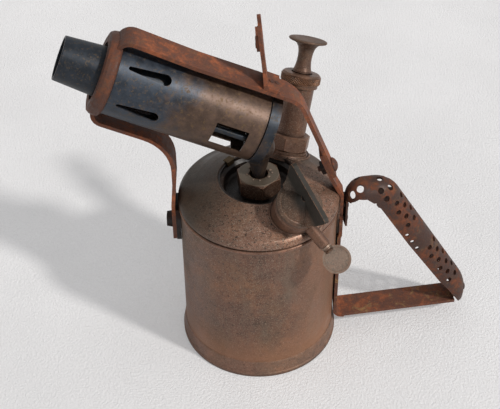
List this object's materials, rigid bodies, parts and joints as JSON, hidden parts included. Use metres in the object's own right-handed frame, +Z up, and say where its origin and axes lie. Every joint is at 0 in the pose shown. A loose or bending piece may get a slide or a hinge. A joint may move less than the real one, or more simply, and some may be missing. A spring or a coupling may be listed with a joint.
{
  "type": "blow lamp",
  "caption": "Paraffin blow lamp: round tank with priming cup, hand pump, winged filler, tilted burner in a slotted wind shield, soldering-iron rest and a folded perforated grip.",
  "frame": {"origin": "centre of the tank's foot ring, on the surface it stands on", "axes": "+Z up along the tank, +X towards the handle; the burner points towards -X and up"},
  "size_m": [0.249, 0.1274, 0.2305],
  "materials": {
    "tank": "aged copper-brown patina, speckled",
    "base": "aged copper-brown patina",
    "dome": "aged patina, greener towards the burner",
    "cup": "soot-black",
    "nut": "orange-brown patina",
    "burner_steel": "heat-blued",
    "sheath": "heat-blued to brown temper colours",
    "jet_brass": "bright",
    "wick": "cotton",
    "pump_brass": "dull brown patina",
    "pump_nut": "brown patina",
    "steel": "dull",
    "leather": "oiled",
    "filler_dark": "dark patina",
    "filler_neck": "copper-brown patina",
    "rubber": "matt",
    "screw": "grey-brown worn",
    "lug_dark": "black-brown rust",
    "lug_brass": "green verdigris",
    "rust_strap": "rust brown",
    "rust_handle": "rust brown, dark patches",
    "rust_grip": "rust brown",
    "rust_bolt": "dark rust"
  },
  "bodies": {
    "lamp": {"tank_body": "tank", "tank_base": "base", "tank_dome": "dome", "priming_cup": "cup", "cup_tab": "jet_brass", "burner_socket": "cup", "burner_nut": "nut", "burner_neck": "burner_steel", "back_plate": "burner_steel", "burner_sheath": "sheath", "front_plate": "burner_steel", "flame_tube": "burner_steel", "jet": "jet_brass", "vaporiser_loop": "burner_steel", "feed_tube": "jet_brass", "wick": "wick", "pump_flange": "pump_brass", "pump_base_nut": "pump_nut", "pump_barrel": "pump_brass", "pump_cap": "pump_brass", "valve_body": "jet_brass", "valve_spring": "steel", "filler_neck": "filler_neck", "release_barrel": "filler_neck", "left_lug": "lug_dark", "left_bolt": "lug_dark", "right_lug": "lug_brass", "right_rivets": "rust_bolt", "handle_strap": "rust_handle", "handle_grip": "rust_grip", "grip_rivet": "rust_bolt", "rest_strap": "rust_strap", "rest_leg": "rust_strap", "joint_bolt": "rust_bolt", "joint_nut": "lug_dark", "iron_fork": "rust_strap", "fork_plate": "rust_strap", "fork_rivets": "rust_bolt"},
    "plunger": {"pump_knob": "pump_brass", "pump_rod": "steel", "pump_piston": "jet_brass", "pump_leather": "leather"},
    "gasket": {"filler_gasket": "rubber"},
    "filler_cap": {"filler_plug": "filler_dark"},
    "release": {"release_screw": "screw"},
    "check_valve": {"valve_pip": "rubber"}
  },
  "joints": [
    {"name": "pump_stroke", "type": "slide", "parent": "lamp", "child": "plunger", "axis": [0.1819, 0.3814, 0.9063], "range_m": [0, 0.056]},
    {"name": "filler_lift", "type": "slide", "parent": "lamp", "child": "gasket", "axis": [0.2796, -0.4145, 0.866], "range_m": [0, 0.006]},
    {"name": "filler_turn", "type": "hinge", "parent": "gasket", "child": "filler_cap", "pos_m": [0.01912, -0.02835, 0.1184], "axis": [0.2796, -0.4145, 0.866], "range_deg": [0, 1440]},
    {"name": "release_turn", "type": "hinge", "parent": "lamp", "child": "release", "pos_m": [0.0336, -0.04268, 0.1138], "axis": [0.6398, -0.5921, -0.49], "range_deg": [0, 540]},
    {"name": "valve_lift", "type": "slide", "parent": "lamp", "child": "check_valve", "axis": [-0.1819, -0.3814, -0.9063], "range_m": [0, 0.0012], "stiffness_N_per_m": 120, "springref_m": -0.001, "deforming": ["valve_spring"]}
  ],
  "couplings": [
    {"joint": "filler_turn", "follows": "filler_lift", "rad_per_m": 4188.8}
  ]
}
